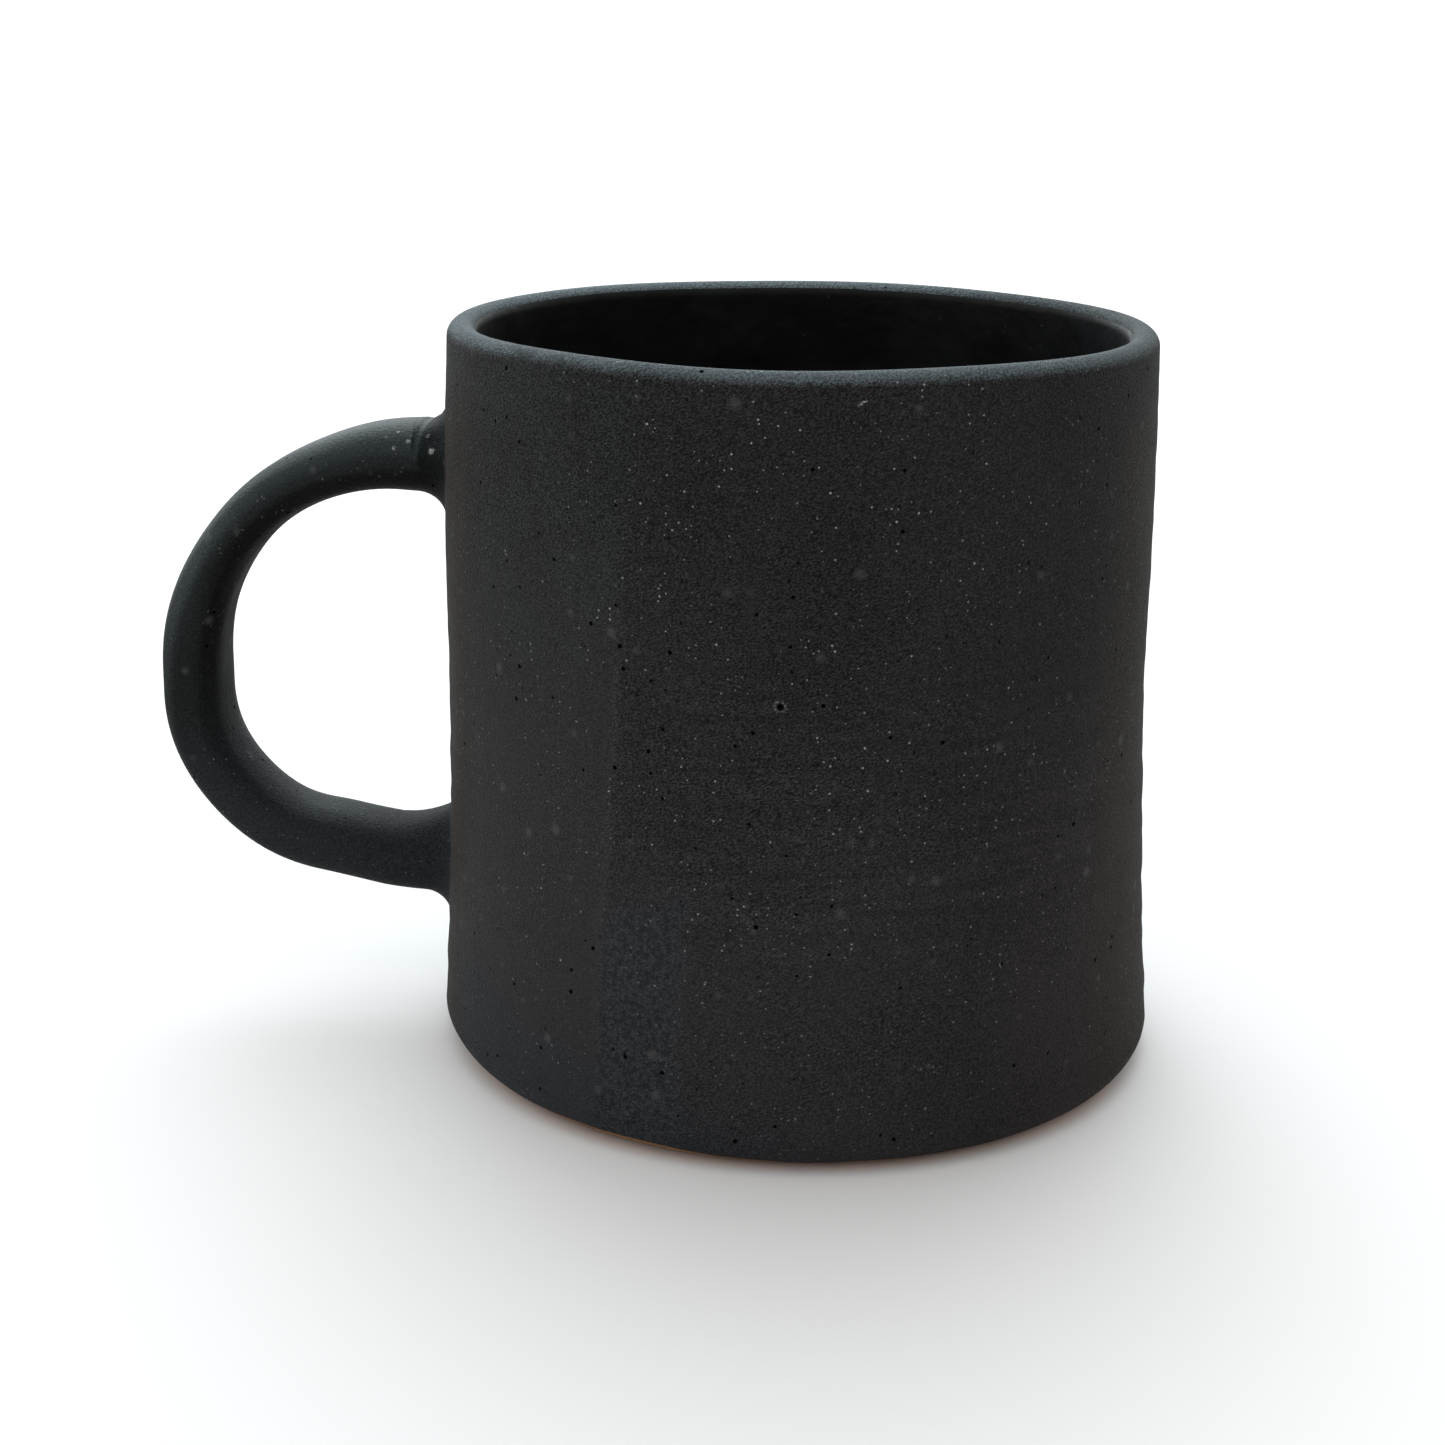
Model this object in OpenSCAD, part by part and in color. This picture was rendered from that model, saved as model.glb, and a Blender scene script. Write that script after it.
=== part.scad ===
// Hand-thrown stoneware mug: a thrown cup, a pulled handle luted on with two clay coils,
// and a matt black glaze. Millimetres, +Z up, origin at the centre of the foot,
// handle towards -X.

/* [Cup] */
// Height from the foot to the top of the lip
height = 90.7; // [80:0.1:110]
// Outer radius of the rim at the lip
rim_r = 42.55; // [38:0.05:48]
// Outer radius of the straight part of the wall
waist_r = 43.1; // [39:0.05:49]
// Outer radius that the flare would reach at the table
foot_r = 45.5; // [43:0.05:52]
// Height at which the flare of the foot dies out
flare_h = 55; // [30:1:70]
// Radius of the rounded edge of the foot
foot_edge_r = 4.1; // [2:0.1:6]
// Radius of the rounded lip, half its thickness
lip_r = 1.8; // [1.4:0.05:3]
// Thickness of the floor
floor_t = 6; // [4:0.5:9]
// Radius of the curve between the floor and the wall inside
well_r = 9; // [4:0.5:16]

/* [Glaze] */
// Thickness of the glaze coat
glaze_t = 0.35; // [0.2:0.05:0.6]

/* [Handle] */
// Height of the middle of the upper root
root_z = 72.6; // [65:0.1:78]
// Radius of the large upper bend, along the middle of the handle
upper_bend = 27.9; // [22:0.1:30]
// Radius of the small lower bend, along the middle of the handle
lower_bend = 19.9; // [14:0.1:22]
// Distance from the cup's axis to the middle of the handle's outermost point
reach = 77.9; // [72:0.1:84]
// Length of the straight run between the two bends
grip_run = 2.9; // [0:0.1:8]
// Slope of the lower limb where it runs down to the cup
lower_slope = 9.4; // [0:0.1:20]
// Half the width of the handle, from side to side
half_width = 5.85; // [4:0.05:9]
// How far the clay coils reach out along the handle from the wall
coil_out = 3.4; // [2:0.1:5]
// Step where a coil ends on the handle
coil_step = 0.25; // [0.1:0.05:0.3]

/* [Hidden] */
$fn = 240;

lip_z = height - lip_r;          // centre of the lip's round
lip_x = rim_r - lip_r;
neck_z = 66;                     // where the wall starts to draw in to the lip
well_wall_r = lip_x - lip_r + 0.4;  // inner wall where it meets the well
arc_step = 15;                   // degrees between points on the small rounds
glaze_from = -60;                // place on the foot's round where the glaze stops
glazes_meet = 150;               // place on the lip's round, from its outside, where they meet
wall_steps = 12;
bend_step = 9;                   // degrees between rings of the handle in the bends
ring_sides = 20;
embed = 2.2;                     // how far the handle's solids start inside the wall
coil_sunk = 0.9;                 // depth inside the wall at which a coil's fillet begins

// Outer radius of the glazed wall at a height.
function wall_r(z) = waist_r
    + (foot_r - waist_r) * pow(max(0, 1 - z / flare_h), 2)
    - (waist_r - rim_r) * pow(max(0, (z - neck_z) / (lip_z - neck_z)), 2);

function arc(cx, cz, r, from, to) =
    [for (a = [from : sign(to - from) * arc_step : to]) [cx + r * cos(a), cz + r * sin(a)]];

function flip(points) = [for (i = [len(points) - 1 : -1 : 0]) points[i]];

// Outside of the cup from the foot's round up to a place on the lip, moved in by inset.
function outer_curve(inset, from, to) = concat(
    arc(wall_r(foot_edge_r) - foot_edge_r - inset, foot_edge_r, foot_edge_r, from, 0),
    [for (i = [1 : wall_steps - 1])
        let (z = foot_edge_r + (lip_z - foot_edge_r) * i / wall_steps) [wall_r(z) - inset, z]],
    arc(lip_x, lip_z, lip_r - inset, 0, to));

// Inside of the cup from where the glazes meet down to the middle of the floor.
function inner_curve(inset) = concat(
    arc(lip_x, lip_z, lip_r - inset, glazes_meet, 180),
    arc(well_wall_r - well_r, floor_t + well_r, well_r + inset, 0, -90),
    [[0, floor_t - inset]]);

// Everything inside the outer surface, used to trim what meets the wall.
module cup_core(inset) {
    rotate_extrude()
        polygon(concat([[0, 0]], outer_curve(inset, -90, 90), [[0, height - inset]]));
}

// The handle's middle line starts inside the wall at the upper root and is measured by its
// length: a straight run, the upper bend, a grip run, the lower bend, a sloping run.
bend_x = reach - upper_bend;
low_x = reach - lower_bend;
mid_z = root_z - upper_bend;
low_z = mid_z - grip_run;
low_turn = 90 - lower_slope;
run_1 = bend_x - (waist_r - embed);
run_2 = run_1 + upper_bend * PI / 2;
run_3 = run_2 + grip_run;
run_4 = run_3 + lower_bend * low_turn * PI / 180;
low_end = [low_x + lower_bend * cos(low_turn), low_z - lower_bend * sin(low_turn)];
run_5 = run_4 + (low_end[0] - wall_r(low_end[1]) + embed) / cos(lower_slope);

// Direction of travel at length s, as an angle from straight out through straight down.
function turn_at(s) =
    s < run_1 ? 0
    : s < run_2 ? (s - run_1) / upper_bend * 180 / PI
    : s < run_3 ? 90
    : s < run_4 ? 90 + (s - run_3) / lower_bend * 180 / PI
    : 90 + low_turn;

// Distance out from the cup's axis and height of the middle line at length s.
function place_at(s) =
    s < run_1 ? [waist_r - embed + s, root_z]
    : s < run_2 ? [bend_x + upper_bend * sin(turn_at(s)), mid_z + upper_bend * cos(turn_at(s))]
    : s < run_3 ? [reach, mid_z - (s - run_2)]
    : s < run_4 ? [low_x + lower_bend * sin(turn_at(s)), low_z + lower_bend * cos(turn_at(s))]
    : low_end - (s - run_4) * [cos(lower_slope), sin(lower_slope)];

// Half the thickness of the handle: thinnest in the upper bend, fullest in the lower one.
function half_thick(s) =
    lookup(s / run_5, [[0, 3.7], [0.12, 3.25], [0.3, 3.15], [0.5, 3.55], [0.72, 3.9], [1, 3.9]]);

// Distance out from the wall at length s, from whichever root is nearer.
function gap_at(s) = min(s - embed, (run_5 - s) * cos(lower_slope) - embed);

// What a coil adds round the handle at length s: a step and a hollow round fillet.
coil_r = coil_out + coil_sunk;
function coil_at(s) =
    let (x = max(0, min(coil_r, coil_out - gap_at(s))))
    coil_step + coil_r - sqrt(pow(coil_r, 2) - pow(x, 2));

// One ring of points round the middle line. The sections are flattened rounds, and near
// the roots they bend round the cup with its wall.
function ring(s, grow) =
    let (p = place_at(s), t = turn_at(s), a = half_thick(s) + grow, b = half_width + grow,
         hug = max(0, min(1, 1 - gap_at(s) / (2 * coil_out))))
    [for (i = [0 : ring_sides - 1])
        let (c = cos(i * 360 / ring_sides), n = sin(i * 360 / ring_sides),
             u = a * sign(c) * pow(abs(c), 0.85), v = b * sign(n) * pow(abs(n), 0.85),
             back = hug * (waist_r - sqrt(pow(waist_r, 2) - pow(v, 2))))
        [-(p[0] - back + u * sin(t)), v, p[1] + u * cos(t)]];

function flat(lists) = [for (list = lists) for (item = list) item];

// Side faces between ring k and the next, each four-cornered patch as two triangles.
function sides(k, out) = flat([for (i = [0 : ring_sides - 1])
    let (j = (i + 1) % ring_sides, a = k * ring_sides + i, b = k * ring_sides + j,
         c = a + ring_sides, d = b + ring_sides)
    out ? [[a, b, d], [a, d, c]] : [[a, d, b], [a, c, d]]]);

// A closed rod through a list of rings.
module rod(rings) {
    last = len(rings) - 1;
    polyhedron(flat(rings), concat(
        flat([for (k = [0 : last - 1]) sides(k, false)]),
        [[for (i = [0 : ring_sides - 1]) i]],
        [[for (i = [ring_sides - 1 : -1 : 0]) last * ring_sides + i]]));
}

// A closed tube between a list of outer rings and the list of inner rings under them.
module tube(outer, inner) {
    count = len(outer);
    last = count - 1;
    polyhedron(flat(concat(outer, inner)), concat(
        flat([for (k = [0 : last - 1]) sides(k, false)]),
        flat([for (k = [0 : last - 1]) sides(k + count, true)]),
        flat([for (i = [0 : ring_sides - 1])
            let (j = (i + 1) % ring_sides, m = count * ring_sides, e = last * ring_sides)
            [[i, j, m + j], [i, m + j, m + i],
             [e + i, m + e + j, e + j], [e + i, m + e + i, m + e + j]]])));
}

// Lengths along the handle at which rings stand.
root_gaps = [-embed, -coil_sunk, 0.35, 1, 2, coil_out];
upper_stations = [for (d = root_gaps) embed + d];
lower_stations = [for (d = flip(root_gaps)) run_5 - (embed + d) / cos(lower_slope)];
bend_1 = upper_bend * bend_step * PI / 180;
bend_2 = lower_bend * bend_step * PI / 180;
grip_stations = concat(
    [for (s = [run_1 + bend_1 / 2 : bend_1 : run_2 - 1]) s],
    [run_2, run_3],
    [for (s = [run_3 + bend_2 : bend_2 : run_4 - 1]) s],
    [run_4, run_4 + 5]);

function plain_rings(stations, grow) = [for (s = stations) ring(s, grow)];
function coiled_rings(stations, grow) = [for (s = stations) ring(s, coil_at(s) + grow)];

// The whole handle with its coils, from wall to wall, made fuller by grow.
function dressed_rings(grow) = concat(
    coiled_rings(upper_stations, grow),
    plain_rings(concat([embed + coil_out], grip_stations, [lower_stations[0]]), grow),
    coiled_rings(lower_stations, grow));

// Thrown clay: wall, lip and floor in one, cut flat and left bare under the foot.
module body() {
    color([0.30, 0.21, 0.16])
        rotate_extrude()
            polygon(concat([[0, 0]], outer_curve(glaze_t, -90, glazes_meet), inner_curve(glaze_t)));
}

// Pulled clay strap, trimmed to the wall at both ends.
module handle() {
    color([0.33, 0.24, 0.18])
        difference() {
            rod(plain_rings(concat(upper_stations, grip_stations, lower_stations), 0));
            cup_core(glaze_t);
        }
}

// A clay coil pressed round a root of the handle, between the strap and the wall.
module root_coil(stations) {
    color([0.38, 0.28, 0.21])
        difference() {
            tube(coiled_rings(stations, 0), plain_rings(stations, 0));
            cup_core(glaze_t);
        }
}

module upper_root_coil() {
    root_coil(upper_stations);
}

module lower_root_coil() {
    root_coil(lower_stations);
}

// Glaze outside, from the foot's round up over the lip, open where the roots pass.
module outer_glaze() {
    color([0.17, 0.17, 0.18])
        difference() {
            rotate_extrude()
                polygon(concat(
                    outer_curve(0, glaze_from, glazes_meet),
                    flip(outer_curve(glaze_t, glaze_from, glazes_meet))));
            rod(coiled_rings(upper_stations, 0));
            rod(coiled_rings(lower_stations, 0));
        }
}

// Glaze inside, from where it meets the outer glaze down over the floor.
module liner_glaze() {
    color([0.12, 0.12, 0.13])
        rotate_extrude()
            polygon(concat(inner_curve(0), flip(inner_curve(glaze_t))));
}

// Glaze over the handle and its coils, up to the glaze on the wall.
module handle_glaze() {
    color([0.20, 0.20, 0.21])
        difference() {
            tube(dressed_rings(glaze_t), dressed_rings(0));
            cup_core(0);
        }
}

body();
handle();
upper_root_coil();
lower_root_coil();
outer_glaze();
liner_glaze();
handle_glaze();
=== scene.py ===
"""The looks of a hand-thrown stoneware mug with a matt black glaze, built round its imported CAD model.

Shapes are worked out in millimetres and written to meshes in metres. The angle round the cup runs
counterclockwise from +X seen from above, so the handle is at 180 degrees and the camera near 273.
"""
import math

import bpy
import numpy as np
from mathutils import Matrix, Vector


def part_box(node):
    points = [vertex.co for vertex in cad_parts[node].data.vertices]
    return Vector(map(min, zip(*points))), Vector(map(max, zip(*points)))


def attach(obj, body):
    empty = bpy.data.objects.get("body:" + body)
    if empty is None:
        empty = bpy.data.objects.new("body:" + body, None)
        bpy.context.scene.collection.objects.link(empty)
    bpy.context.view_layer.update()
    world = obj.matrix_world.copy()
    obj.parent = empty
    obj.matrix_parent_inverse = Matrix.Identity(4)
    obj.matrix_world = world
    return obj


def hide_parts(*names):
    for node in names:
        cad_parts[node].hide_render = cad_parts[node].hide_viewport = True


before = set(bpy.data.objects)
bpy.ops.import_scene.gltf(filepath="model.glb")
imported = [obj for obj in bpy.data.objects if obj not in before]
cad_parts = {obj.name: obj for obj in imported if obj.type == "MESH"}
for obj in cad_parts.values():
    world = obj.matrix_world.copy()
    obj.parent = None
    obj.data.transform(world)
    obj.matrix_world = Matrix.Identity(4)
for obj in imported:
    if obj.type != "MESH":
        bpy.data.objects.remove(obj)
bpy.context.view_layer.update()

MM = 0.001
TURN = 2 * math.pi

# The cup's design sizes, as in the CAD source.
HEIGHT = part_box("outer_glaze")[1].z / MM
RIM_R = 42.55
WAIST_R = 43.1
FOOT_R = 45.5
FLARE_H = 55.0
FOOT_EDGE_R = 4.1
LIP_R = 1.8
FLOOR_T = 6.0
WELL_R = 9.0
GLAZE_T = 0.35
NECK_Z = 66.0
LIP_Z = HEIGHT - LIP_R
LIP_X = RIM_R - LIP_R
WELL_WALL_R = LIP_X - LIP_R + 0.4
GLAZES_MEET = 150.0  # degrees round the lip, from its outside, where the two glazes meet

# The handle's design sizes.
ROOT_Z = 72.6
UPPER_BEND = 27.9
LOWER_BEND = 19.9
REACH = 77.9
GRIP_RUN = 2.9
LOWER_SLOPE = math.radians(9.4)

# How the thrown cup strays from a true round.
CAMERA_TURN = math.radians(3.0)  # the camera stands this far round from -Y
SIDEWAYS = np.array([math.cos(CAMERA_TURN), math.sin(CAMERA_TURN)])
LEAN = -1.32  # how far the lip's centre sits to the side of the foot's
BOW = 1.52
RIM_TILT = math.tan(math.radians(0.22))

# Places on the outside, by angle in degrees and height.
DIP_FOOT_ANGLE = 243.3
DIP_STEP = 1.6  # degrees it shifts to the right just above the patch where the dips overlap
DIP_SLANT = 0.075  # degrees per millimetre of height above that
PATCH_TOP = 31.0
CRATER = (271.3, 54.8)
STREAK = (282.0, 87.6)
# Where the glaze stops higher on the foot: angle, width in radians and share of the full rise.
BARE_PLACES = [(239.0, 0.42, 1.0), (320.0, 0.30, 0.5)]


def smooth(x):
    x = np.clip(x, 0.0, 1.0)
    return x * x * (3 - 2 * x)


def spline(knots, values, x):
    """A smooth curve through a few values."""
    knots, values = np.asarray(knots, float), np.asarray(values, float)
    slope = np.gradient(values, knots)
    i = np.clip(np.searchsorted(knots, x) - 1, 0, len(knots) - 2)
    gap = knots[i + 1] - knots[i]
    t = np.clip((x - knots[i]) / gap, 0.0, 1.0)
    a, b = 2 * t**3 - 3 * t**2 + 1, t**3 - 2 * t**2 + t
    c, d = -2 * t**3 + 3 * t**2, t**3 - t**2
    return a * values[i] + b * gap * slope[i] + c * values[i + 1] + d * gap * slope[i + 1]


def ripple(u, v, seed, shortest, longest, count):
    """Soft uneven relief of about unit height over two lengths in millimetres; u may wrap."""
    rng = np.random.RandomState(seed)
    total = np.zeros(np.broadcast(u, v).shape)
    for _ in range(count):
        length = shortest * (longest / shortest) ** rng.rand()
        heading = rng.rand() * TURN
        girth_waves = round(math.cos(heading) * TURN * WAIST_R / length) / WAIST_R
        climb = math.sin(heading) * TURN / length
        total += np.sin(girth_waves * u + climb * v + rng.rand() * TURN)
    return total / math.sqrt(count)


# ---------------------------------------------------------------- the cup's surface

def wall_radius(z):
    flare = np.clip(1 - z / FLARE_H, 0, None) ** 2
    draw = np.clip((z - NECK_Z) / (LIP_Z - NECK_Z), 0, None) ** 2
    return WAIST_R + (FOOT_R - WAIST_R) * flare - (WAIST_R - RIM_R) * draw


def dip_distance(theta, z):
    """Distance round the wall from the line where the two dips of glaze meet, plus to its right."""
    above = DIP_STEP * smooth((z - 22) / 14) + DIP_SLANT * np.clip(z - 30, 0, None)
    line = np.radians(DIP_FOOT_ANGLE + above)
    off = (theta - line + math.pi) % TURN - math.pi
    return off * WAIST_R


def outside_relief(theta, z):
    """How far the glazed wall stands off its ideal outline."""
    low = smooth((62 - z) / 30)
    rise = 0.8 * np.sin(theta + 0.6) + 0.5 * np.sin(2 * theta + 2.1) + 0.35 * np.sin(5 * theta)
    rings = (np.sin(TURN * (z + rise) / 8.7 + 0.4)
             + 0.7 * np.sin(TURN * (z + 1.4 * rise) / 5.3 + 2.0 + np.sin(theta * 2))
             + 0.45 * np.sin(TURN * (z + 0.7 * rise) / 3.1 + 1.1))
    relief = rings * (0.014 + 0.028 * low)
    relief += 0.10 * np.sin(2 * theta + 0.9 + z / 34) * smooth(z / 12)
    relief += 0.05 * ripple(theta * WAIST_R, z, seed=3, shortest=16, longest=48, count=14) * smooth(z / 8)
    relief += 0.012 * ripple(theta * WAIST_R, z, seed=5, shortest=2.6, longest=6, count=40)
    relief += 0.05 * smooth(0.5 - dip_distance(theta, z) / 1.6) * smooth((80 - z) / 12)
    relief += 0.10 * np.exp(-((z - 33.0) / 9.0) ** 2) * np.cos(theta - 0.1)
    return relief


def crater_relief(theta, z):
    """One burst bubble: a low ring with a pit in the middle."""
    across = (theta - math.radians(CRATER[0])) * WAIST_R
    d = np.hypot(across, z - CRATER[1])
    return 0.07 * np.exp(-((d - 0.85) / 0.35) ** 2) - 0.30 * np.exp(-(d / 0.42) ** 2)


def inside_relief(theta, z):
    """Throwing rings left by the fingers climb round the inside as one long spiral."""
    climb = TURN * z / 6.4 + theta
    relief = 0.16 * np.sin(climb + 0.5 * np.sin(theta * 2 + z / 9)) * smooth((84 - z) / 12)
    relief += 0.05 * ripple(theta * WAIST_R, z, seed=11, shortest=9, longest=30, count=16)
    relief += 0.014 * ripple(theta * WAIST_R, z, seed=12, shortest=2.4, longest=5, count=40)
    return relief


def rim_wave(theta, z):
    """The slow rise and fall of the lip, which fades out down the wall."""
    wave = ripple(theta * WAIST_R, 0.0, seed=21, shortest=14, longest=60, count=8)
    return 0.10 * wave * smooth((z - 70) / 20)


def lean_at(z):
    """How far to the side the cup's centre stands at a height."""
    s = z / HEIGHT
    return LEAN * s + BOW * s * (s - 1)


def set_on_cup(theta, r, z):
    """Places points of a true round cup on the leaning one, with its slightly tilted rim."""
    lean = lean_at(z)
    x = r * np.cos(theta) + lean * SIDEWAYS[0]
    y = r * np.sin(theta) + lean * SIDEWAYS[1]
    tilt = z / HEIGHT * RIM_TILT * (x * SIDEWAYS[0] + y * SIDEWAYS[1])
    return np.stack([x, y, z + tilt], axis=-1)


def wall_x(y, z):
    """Where the outside of the wall is on the handle's side, at a sideways place and a height."""
    lean = lean_at(z)
    away = y - lean * SIDEWAYS[1]
    theta = math.pi - np.arcsin(away / wall_radius(z))
    r = wall_radius(z) + outside_relief(theta, z)
    return lean * SIDEWAYS[0] - np.sqrt(r**2 - away**2)


def on_wall(angle, z):
    """A point of the outside at an angle in degrees and a height."""
    theta = math.radians(angle)
    r = wall_radius(z) + float(outside_relief(np.array([theta]), np.array([z]))[0])
    return set_on_cup(theta, r, z)


CRATER_PLACE = on_wall(*CRATER)
STREAK_PLACE = on_wall(*STREAK)
# Crumbs stuck in the glaze where the strap meets the upper root: place, size, brightness.
# The places were measured, by casting rays from the photo's view with a separate script.
CRUMBS = [
    ((-46.3, -5.2, 76.1), 0.55, 0.45), ((-45.5, -6.8, 74.5), 0.80, 0.60),
    ((-50.0, -4.6, 76.3), 0.42, 0.50), ((-48.5, -5.8, 75.4), 0.62, 0.45),
    ((-50.2, -6.2, 74.6), 0.52, 0.50), ((-51.3, -5.3, 75.8), 0.60, 0.12),
    ((-48.2, -5.3, 76.0), 0.36, 0.25), ((-53.2, -6.3, 71.4), 0.70, 0.035),
    ((-50.1, -6.3, 71.4), 0.60, 0.035),
]
# The larger pinholes of the outside, by angle in degrees and height.
PITS = [
    (242, 62), (247, 60), (255, 60), (247.5, 57.5), (227, 55), (226, 51), (246, 46),
    (242, 24), (268, 29.5), (238, 18), (248, 12), (254, 11), (265, 4),
]


# ---------------------------------------------------------------- meshes

def quads_between(rows, columns, wrap_rows):
    """Corner numbers of the faces of a grid whose columns always close on themselves."""
    i = np.arange(rows if wrap_rows else rows - 1)[:, None]
    j = np.arange(columns)[None, :]
    nxt, far = (i + 1) % rows, (j + 1) % columns
    corners = [i * columns + j, i * columns + far, nxt * columns + far, nxt * columns + j]
    return np.stack(np.broadcast_arrays(*corners), axis=-1).reshape(-1, 4)


def end_fans(rows, columns):
    """Triangles from a grid's first and last row to the two points that follow the grid."""
    j = np.arange(columns)
    far = (j + 1) % columns
    last = (rows - 1) * columns
    first_end = np.full(columns, rows * columns)
    return np.concatenate([
        np.stack([far, j, first_end], axis=-1),
        np.stack([last + j, last + far, first_end + 1], axis=-1)])


def ring_numbers(count, columns, rows):
    """A number for each of a grid's rows that mark_sharp is to crease, on the row's points."""
    numbers = np.zeros(count, int)
    for number, k in enumerate(rows, start=1):
        numbers[k * columns:(k + 1) * columns] = number
    return numbers


def make_piece(name, points, quads, triangles=(), marks=None, sharp=()):
    """A smooth mesh from points in millimetres. marks are named numbers stored on the points."""
    mesh = bpy.data.meshes.new(name)
    triangles = np.asarray(triangles, int).reshape(-1, 3)
    loops = np.concatenate([quads.ravel(), triangles.ravel()])
    sizes = np.concatenate([np.full(len(quads), 4), np.full(len(triangles), 3)])
    mesh.vertices.add(len(points))
    mesh.vertices.foreach_set("co", (points * MM).astype(np.float32).ravel())
    mesh.loops.add(len(loops))
    mesh.loops.foreach_set("vertex_index", loops.astype(np.int32))
    mesh.polygons.add(len(sizes))
    starts = np.concatenate([[0], np.cumsum(sizes)[:-1]])
    mesh.polygons.foreach_set("loop_start", starts.astype(np.int32))
    mesh.polygons.foreach_set("use_smooth", np.ones(len(sizes), bool))
    mesh.update(calc_edges=True)
    mesh.validate()
    for key, values in (marks or {}).items():
        layer = mesh.attributes.new(key, "FLOAT", "POINT")
        layer.data.foreach_set("value", np.asarray(values, np.float32).ravel())
    if len(sharp):
        mark_sharp(mesh, np.asarray(sharp, int))
    piece = bpy.data.objects.new(name, mesh)
    bpy.context.scene.collection.objects.link(piece)
    return piece


def mark_sharp(mesh, on_ring):
    """Splits the shading along every edge whose two ends carry the same ring number."""
    ends = np.empty(len(mesh.edges) * 2, np.int32)
    mesh.edges.foreach_get("vertices", ends)
    ends = ends.reshape(-1, 2)
    hit = (on_ring[ends[:, 0]] > 0) & (on_ring[ends[:, 0]] == on_ring[ends[:, 1]])
    layer = mesh.attributes.new("sharp_edge", "BOOLEAN", "EDGE")
    layer.data.foreach_set("value", hit)


def sink_pits(points, quads, marks, chosen, normals, depths):
    """Replaces each chosen face with a small round-cornered pinhole that goes down into the glaze."""
    corners = quads[chosen]
    ring = points[corners]
    middle = ring.mean(axis=1, keepdims=True)
    down = normals[chosen][:, None, :] * depths[:, None, None]
    shelf = ring + (middle - ring) * 0.30
    throat = ring + (middle - ring) * 0.45 - down * 0.45
    bottom = ring + (middle - ring) * 0.72 - down
    first = len(points)
    count = len(chosen)
    new = np.concatenate([shelf.reshape(-1, 3), throat.reshape(-1, 3), bottom.reshape(-1, 3)])
    ids = first + np.arange(count * 12).reshape(3, count, 4)
    bands = []
    for upper, lower in ((corners, ids[0]), (ids[0], ids[1]), (ids[1], ids[2])):
        for k in range(4):
            m = (k + 1) % 4
            bands.append(np.stack([upper[:, k], upper[:, m], lower[:, m], lower[:, k]], axis=-1))
    keep = np.ones(len(quads), bool)
    keep[chosen] = False
    quads = np.concatenate([quads[keep], *bands, ids[2]])
    points = np.concatenate([points, new])
    grown = {}
    for key, values in marks.items():
        extra = values[corners].mean(axis=1)[:, None].repeat(4, axis=1).ravel()
        grown[key] = np.concatenate([values, np.tile(extra, 3)])
    return points, quads, grown


def face_normals(points, quads):
    a, b, c, d = (points[quads[:, k]] for k in range(4))
    n = np.cross(c - a, d - b)
    return n / np.linalg.norm(n, axis=1, keepdims=True)


def round_arc(cx, cz, r, start, end, count):
    a = np.radians(np.linspace(start, end, count))
    return cx + r * np.cos(a), cz + r * np.sin(a)


def outer_rows(inset, glaze_end, wall_count, foot_count, lip_count):
    """Radius, height and share of the glaze's thickness of each row, from its edge over the lip.

    glaze_end is how far down the foot's round the glaze runs, in degrees, for each column.
    """
    r_rows, z_rows, coated = [], [], []
    centre = wall_radius(FOOT_EDGE_R) - FOOT_EDGE_R - inset
    for t in np.linspace(0, 1, foot_count, endpoint=False):
        a = np.radians(glaze_end * (1 - t))
        r_rows.append(centre + FOOT_EDGE_R * np.cos(a))
        z_rows.append(FOOT_EDGE_R + FOOT_EDGE_R * np.sin(a))
        coated.append(0.35 + 0.65 * t)
    for z in np.linspace(FOOT_EDGE_R, LIP_Z, wall_count, endpoint=False):
        r_rows.append(np.full_like(glaze_end, wall_radius(z) - inset))
        z_rows.append(np.full_like(glaze_end, z))
        coated.append(1.0)
    lip_x, lip_z = round_arc(LIP_X, LIP_Z, LIP_R - inset, 0, GLAZES_MEET, lip_count)
    for x, z in zip(lip_x, lip_z):
        r_rows.append(np.full_like(glaze_end, x))
        z_rows.append(np.full_like(glaze_end, z))
        coated.append(1.0)
    return np.array(r_rows), np.array(z_rows), np.array(coated)[:, None]


def inner_rows(inset, start, wall_count, lip_count, well_count, floor_count):
    """Radius and height of each row of the inside, from the lip down to the middle of the floor."""
    x1, z1 = round_arc(LIP_X, LIP_Z, LIP_R - inset, start, 180, lip_count)
    corner_x, corner_z = WELL_WALL_R - WELL_R, FLOOR_T + WELL_R
    x3, z3 = round_arc(corner_x, corner_z, WELL_R + inset, 0, -90, well_count)
    even = np.linspace(0, 1, wall_count + 2)[1:-1]
    t = smooth(even) * 0.3 + even * 0.7
    x2, z2 = x1[-1] + (x3[0] - x1[-1]) * t, z1[-1] + (z3[0] - z1[-1]) * t
    x4 = np.linspace(corner_x, 0, floor_count + 1)[1:-1]
    z4 = np.full_like(x4, FLOOR_T - inset)
    return np.concatenate([x1, x2, x3, x4]), np.concatenate([z1, z2, z3, z4])


COLUMNS = 560
PINHOLE_TRIES = 190  # fewer are kept, above all on the smoother coat of the first dip
angles = np.linspace(0, TURN, COLUMNS, endpoint=False)


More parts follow.
